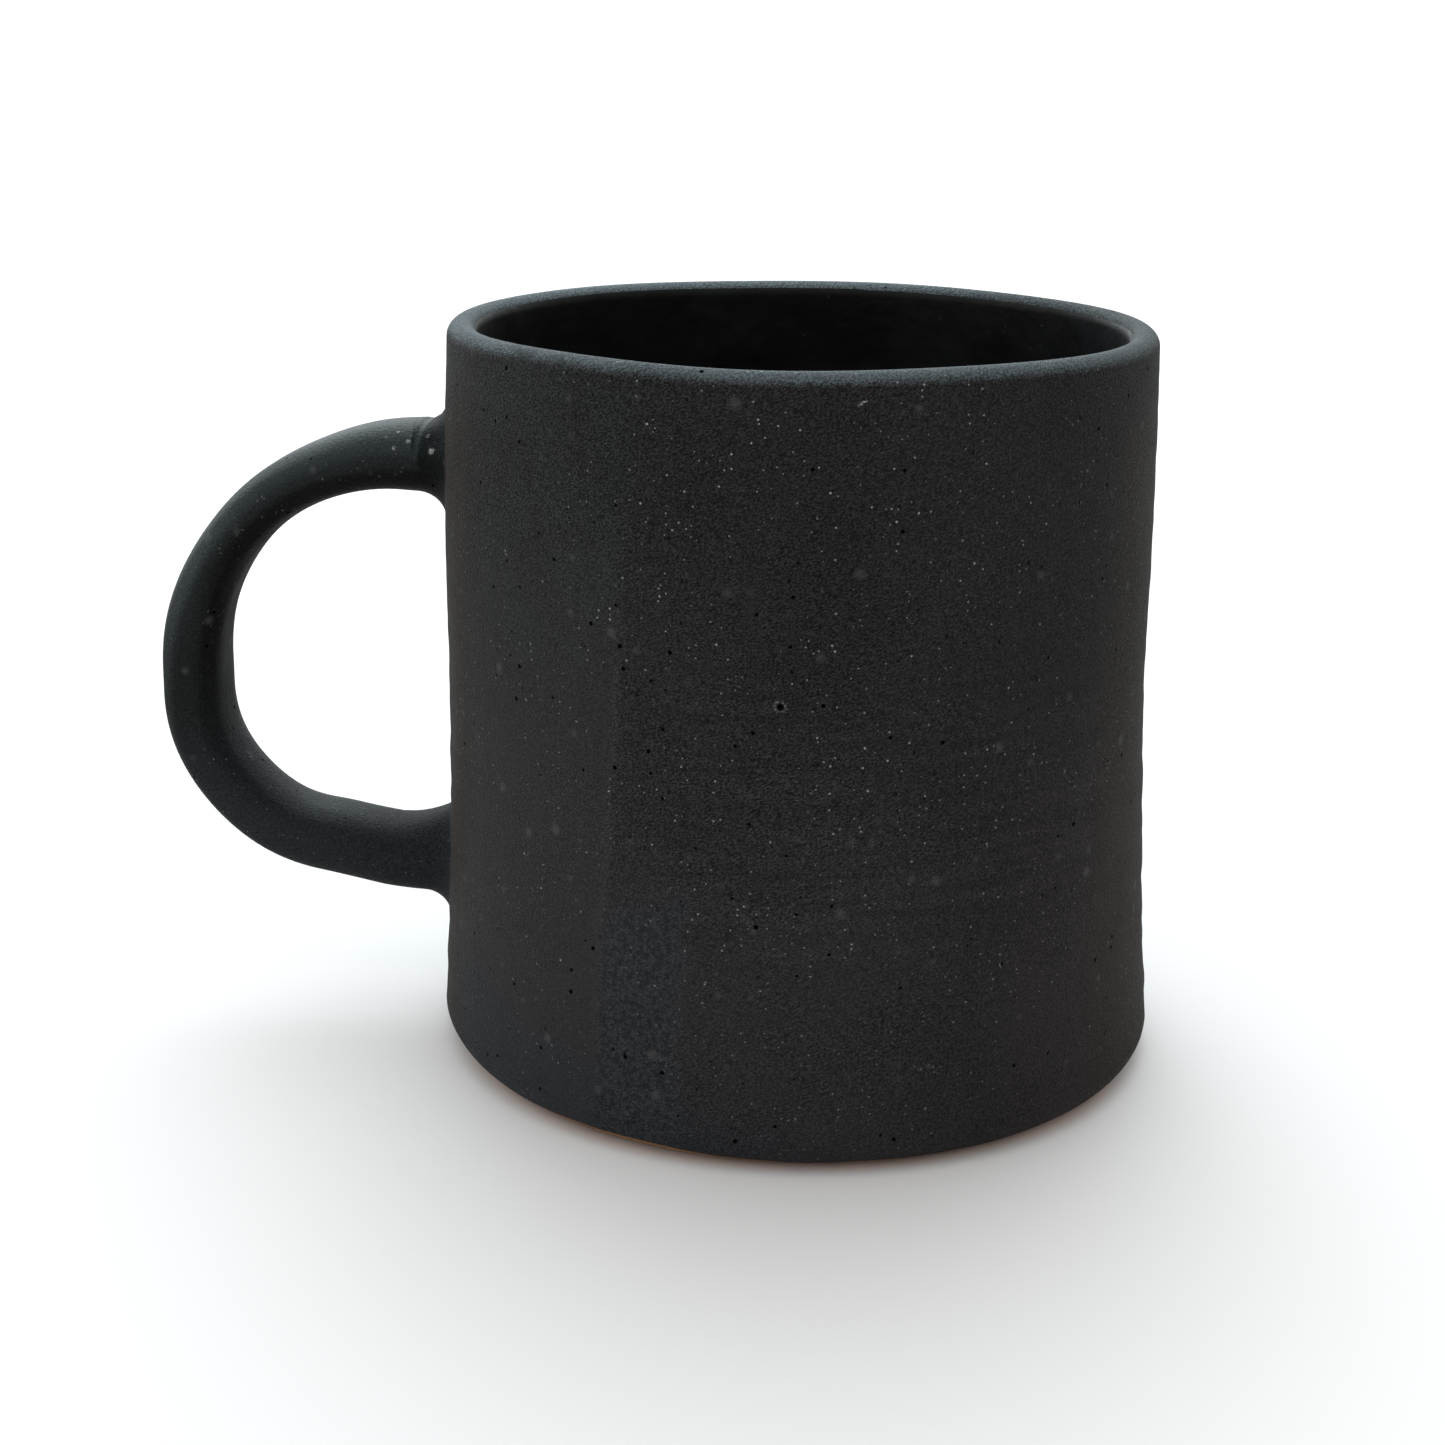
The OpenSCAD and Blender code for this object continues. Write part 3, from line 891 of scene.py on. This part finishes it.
def wall_features(s, color):
    """The burst bubble's pale ring and the pale streak just below the lip."""
    ring = s.math("SUBTRACT", s.near(CRATER_PLACE, 0.55, 0.95), s.near(CRATER_PLACE, 0.36, 0.60))
    ring = s.times(ring, s.step(s.noise(0.9, 2.0, 0.6, 25.0), 0.30, 0.55), 0.85)
    color = s.mix(ring, color, CRATER_RING)
    for part in (-0.42, -0.14, 0.14, 0.42):
        spot = STREAK_PLACE + np.array([part, 0.0, 0.35 * part])
        color = s.mix(s.near(spot, 0.06, 0.26), color, STREAK_PALE)
    return color


def teal_cast_and_limb_reflection(s, color):
    """A teal cast high on the left, and a painted brown reflection, a little darker, towards both limbs."""
    around, height = s.mark("dip_mm"), s.mark("height_mm")
    cool = s.times(s.step(height, 46.0, 66.0), s.band(around, -34.0, -24.0, -4.0, 9.0))
    cool = s.times(cool, s.step(s.noise(9.0, 3.0, 0.6, 51.0), 0.36, 0.56), 0.6)
    color = s.mix(cool, color, grey(CUP_BLACK * 1.50, -0.13, 0.04))
    # Painted brown reflection, a little darker, along both limbs where the wall turns from view.
    left_limb = s.band(around, -60.0, -45.0, -31.0, -23.0)
    right_limb = s.band(around, 56.0, 66.0, 75.0, 95.0)
    painted_limb_reflection = s.times(s.math("ADD", left_limb, right_limb), s.step(height, 88.0, 80.0), 0.8)
    return s.mix(painted_limb_reflection, color, grey(CUP_BLACK * 0.95, 0.30, -0.28))


def speckled(s, color, rough, specks, own_holes=()):
    """Adds painted shade and highlight of the orange peel, the soft grey spots, the pale specks and the
    pinholes.
    """
    # Painted shade and highlight of the orange peel: dark pits, light peaks, as strong as the glaze is
    # rough.
    fine = s.step(s.noise(0.27, 2.0, 0.60, 9.0, s.slanted()), 0.38, 0.66)
    painted_peel_shading = s.mix(fine, grey(0.10), grey(2.50))
    color = s.mix(rough, color, s.mix(1.0, color, painted_peel_shading, "MULTIPLY"))
    color = s.mix(s.times(s.spots(3.4, 0.80, 0.6, 0.50, 2.0), 0.55), color, SOFT_SPOT)
    dusty = s.step(s.noise(15.0, 2.0, 0.5, 15.0), 0.30, 0.56)
    color = s.mix(s.times(s.spots(0.70, 0.14, 0.07, 0.50, 5.0), dusty, specks), color, PALE_GRAIN)
    bright = s.times(s.spots(2.2, 0.16, 0.09, 0.32, 12.0), specks)
    color = s.mix(bright, color, PALE_SPECK)
    holes = s.spots(1.9, 0.27, 0.10, 0.42, 20.0)
    for hole in own_holes:
        holes = s.math("MAXIMUM", holes, hole)
    # The pinholes are filled with painted shade.
    return s.mix(holes, color, PINHOLE_SHADE), bright, holes


def matt_finish(s, color, rough, bright, holes, roughness, shine):
    """Orange peel and soft dimples, with raised specks and sunken pinholes that don't shine."""
    normal = s.bump(s.noise(0.42, 2.0, 0.6, 0.0, s.slanted()), rough, 0.85)
    normal = s.bump(s.noise(2.6, 2.0, 0.5, 7.0), 0.30, 0.16, normal)
    normal = s.bump(s.math("SUBTRACT", bright, holes), 0.5, 0.12, normal)
    dull = s.math("MULTIPLY_ADD", s.noise(5.0, 3.0, 0.6, 3.0), 0.12, roughness - 0.06)
    return s.finish(color, dull, normal, s.times(shine, s.without(holes)))


def cup_glaze():
    """Matt black with two dips, roughest high up and calmer on the first dip, the patch and the lip."""
    s = Shader("matt_glaze_cup")
    around, height = s.mark("dip_mm"), s.mark("height_mm")
    color, first_dip, patch = two_dips(s, throwing_lines(s, wall_color(s)))
    color, on_lip = lip_break_and_highlight(s, color)
    color = teal_cast_and_limb_reflection(s, wall_features(s, color))

    region = s.times(s.step(s.noise(20.0, 2.0, 0.5, 31.0), 0.35, 0.65), 0.30)
    upper = s.times(s.step(height, 25.0, 72.0), 0.40)
    rough = s.math("ADD", s.math("ADD", region, upper), 0.50)
    for zone, share in ((first_dip, 0.40), (on_lip, 0.6), (patch, 0.15)):
        rough = s.times(rough, s.without(s.times(zone, share)))
    specks = s.times(s.step(around, 62.0, 24.0), s.step(height, 6.0, 60.0), s.step(around, -22.0, 8.0))
    specks = s.math("MULTIPLY_ADD", specks, 0.66, 0.34)
    own_holes = [s.near(on_wall(*pit), 0.16, 0.36) for pit in PITS] + [s.near(CRATER_PLACE, 0.24, 0.48)]
    color, bright, holes = speckled(s, color, rough, specks, own_holes)
    return matt_finish(s, color, rough, bright, holes, 0.78, 0.18)


def handle_painted_light(s):
    """The handle's colour with painted teal highlight and painted shade, and the share of highlight, which
    also sets the shine.
    """
    height, off_wall = s.along((0.0, 0.0, 1.0)), s.along((-1.0, 0.1, 0.0))
    # Painted shade where the cup's wall shadows the inner lower limb near its root: no highlight there.
    wall_shadow = s.times(s.step(off_wall, WAIST_R + 18, WAIST_R + 8), s.step(height, 44.0, 34.0))
    open_sky = s.math("MULTIPLY_ADD", s.step(height, 38.0, 56.0), 0.85, 0.15)
    # Painted teal highlight on faces turned up to the sky, also setting how much they shine.
    highlight_and_shine = s.times(s.step(s.mark("upward"), -0.25, 0.40), open_sky, s.without(wall_shadow))
    low = s.step(height, 50.0, 24.0)
    front = s.mix(low, grey(HANDLE_BLACK * 1.5, 0.05, -0.05), grey(HANDLE_BLACK * 4.6, -0.10, 0.10))
    # Painted teal highlight on the outer half of the strap's front, high up.
    shoulder_highlight = s.times(s.step(s.mark("outer_side"), -0.45, 0.75), s.step(height, 32.0, 52.0))
    front = s.mix(shoulder_highlight, front, grey(HANDLE_BLACK * 3.2, -0.20, 0.02))
    color = s.mix(highlight_and_shine, front, grey(HANDLE_BLACK * 4.5, -0.32, 0.05))
    # Painted shade in the hollow where the strap meets the upper root; it also damps the highlight.
    joint_shade = s.times(s.step(off_wall, WAIST_R + 3.9, WAIST_R + 3.2), s.step(height, 66.0, 73.0))
    color = s.mix(s.times(joint_shade, 0.72), color, JOINT_SHADE)
    return color, s.times(highlight_and_shine, s.without(s.times(joint_shade, 0.85)))


def crumbs(s, color):
    """The crumbs of clay stuck in the glaze at the upper root, most of them white."""
    ragged = s.step(s.noise(0.30, 2.0, 0.6, 33.0), 0.42, 0.56)
    ragged = s.math("ADD", ragged, 0.12, clamp=True)
    for place, size, brightness in CRUMBS:
        crumb = s.times(s.near(place, size * 0.10, size * 0.72), ragged)
        color = s.mix(crumb, color, grey(brightness * 0.75, 0.03, -0.02))
    return color


def handle_glaze():
    """The same matt black, smoother from the pulling, with a painted teal highlight and more shine where it
    faces the sky.
    """
    s = Shader("matt_glaze_handle")
    color, highlight_and_shine = handle_painted_light(s)
    rough = s.math("MULTIPLY_ADD", s.step(s.noise(20.0, 2.0, 0.5, 31.0), 0.35, 0.65), 0.15, 0.30)
    color, bright, holes = speckled(s, color, rough, 0.20)
    shine = s.math("MULTIPLY_ADD", highlight_and_shine, 0.26, 0.035)
    return matt_finish(s, crumbs(s, color), rough, bright, holes, 0.62, shine)


def liner_glaze():
    """The same glaze inside, a little glossier and more even, with a few pale specks, its black made much
    darker than outside as painted shade of the cup's inside.
    """
    s = Shader("liner_glaze")
    clouds = s.step(s.noise(9.0, 3.0, 0.55, 4.0), 0.35, 0.7)
    # Much darker than the outside's black: painted shade of the cup's inside.
    color = s.mix(clouds, grey(0.0018, 0.0, 0.1), grey(0.0060, -0.12, 0.22))
    color = s.mix(s.spots(1.7, 0.20, 0.12, 0.35, 5.0), color, grey(0.05, 0.0, 0.05))
    normal = s.bump(s.noise(0.8, 2.0), 0.3, 0.12)
    normal = s.bump(s.noise(4.0, 2.0, 0.5, 6.0), 0.5, 0.35, normal)
    roughness = s.math("MULTIPLY_ADD", s.noise(3.5, 2.0, 0.5, 8.0), 0.18, 0.40)
    return s.finish(color, roughness, normal, 0.20)


def bare_clay():
    """Unglazed fired stoneware: toast brown with iron specks and grains of grog."""
    s = Shader("bare_clay")
    clouds = s.step(s.noise(8.0, 4.0, 0.6), 0.3, 0.7)
    color = s.mix(clouds, (0.250, 0.112, 0.045, 1.0), (0.350, 0.175, 0.075, 1.0))
    color = s.mix(s.step(s.noise(1.1, 3.0, 0.6, 4.0), 0.42, 0.75), color, (0.30, 0.17, 0.09, 1.0))
    color = s.mix(s.spots(1.3, 0.22, 0.08, 0.45, 3.0), color, (0.028, 0.018, 0.014, 1.0))
    color = s.mix(s.spots(2.1, 0.26, 0.10, 0.35, 8.0), color, (0.46, 0.33, 0.22, 1.0))
    normal = s.bump(s.noise(0.45, 3.0, 0.6), 0.5, 0.12)
    normal = s.bump(s.noise(2.4, 2.0, 0.5, 2.0), 0.4, 0.20, normal)
    return s.finish(color, s.math("MULTIPLY_ADD", s.noise(3.0), 0.12, 0.78), normal, 0.25)


def pale_floor():
    s = Shader("pale_floor")
    color = s.mix(s.noise(400.0, 2.0), (0.90, 0.865, 0.855, 1.0), (0.92, 0.88, 0.87, 1.0))
    return s.finish(color, 0.75, s.bump(s.noise(3.0), 0.02, 0.1), 0.2)


# ---------------------------------------------------------------- putting it together

def dress(piece, material, node):
    piece.data.materials.append(material)
    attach(piece, "root")
    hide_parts(node)


clay = bare_clay()
dress(build_outer_coat(), cup_glaze(), "outer_glaze")
dress(build_handle_coat(), handle_glaze(), "handle_glaze")
dress(build_liner_coat(), liner_glaze(), "liner_glaze")
dress(build_clay_body(), clay, "body")
dress(build_strap(), clay, "handle")
dress(build_coil("upper"), clay, "upper_root_coil")
dress(build_coil("lower"), clay, "lower_root_coil")


def build_floor():
    bpy.ops.mesh.primitive_circle_add(vertices=96, radius=60.0, fill_type="NGON", location=(0, 0, 0))
    floor = bpy.context.object
    floor.name = "floor"
    floor.data.materials.append(pale_floor())


# The camera stands in front and above, a little to the right, and looks down at the mug.
CAMERA_AWAY = 287.5  # from the cup's axis
CAMERA_UP = 127.8
CAMERA_PAN = math.radians(2.02)  # how far left of the axis it looks
CAMERA_DIP = math.radians(17.02)
CAMERA_ROLL = math.radians(0.90)


def place_camera():
    data = bpy.data.cameras.new("camera")
    data.sensor_width = 36.0
    data.lens = 59.19
    data.clip_start = 0.01
    data.clip_end = 200.0
    camera = bpy.data.objects.new("camera", data)
    bpy.context.scene.collection.objects.link(camera)
    spot = Vector((math.sin(CAMERA_TURN) * CAMERA_AWAY, -math.cos(CAMERA_TURN) * CAMERA_AWAY, CAMERA_UP))
    aim = (Matrix.Rotation(CAMERA_PAN + CAMERA_TURN, 4, "Z")
           @ Matrix.Rotation(math.pi / 2 - CAMERA_DIP, 4, "X")
           @ Matrix.Rotation(CAMERA_ROLL, 4, "Z"))
    camera.matrix_world = Matrix.Translation(spot * MM) @ aim
    bpy.context.scene.camera = camera


# Each glow of the studio sky: the way to its middle, how tight it is, its strength and its tint.
GLOWS = [
    ((-0.15, 0.80, 0.58), 5.0, 3.2, (0.84, 0.97, 1.02)),
    ((-0.10, 0.94, 0.30), 10.0, 1.35, (1.00, 0.94, 0.88)),
    ((-0.85, -0.35, 0.40), 6.0, 0.55, (0.98, 0.99, 1.00)),
    ((0.00, 0.00, 1.00), 3.0, 0.80, (0.88, 0.98, 1.02)),
]
SKY = (0.385, 0.370, 0.355)


def light_studio():
    """A plain white room: dim all round, with soft glows overhead, behind and at the left."""
    world = bpy.data.worlds.new("studio")
    world.use_nodes = True
    sky = Nodes(world.node_tree)
    way = sky.node("ShaderNodeTexCoord").outputs["Generated"]
    light = SKY
    for middle, tightness, strength, tint in GLOWS:
        towards = sky.vector("DOT_PRODUCT", way, Vector(middle).normalized())
        glow = sky.math("POWER", sky.math("MAXIMUM", towards, 0.0), tightness)
        light = sky.vector("MULTIPLY_ADD", glow, [strength * part for part in tint], light)
    sky.feed(world.node_tree.nodes["Background"].inputs["Color"], light)
    bpy.context.scene.world = world


build_floor()
place_camera()
light_studio()
bpy.context.scene.view_settings.view_transform = "Standard"
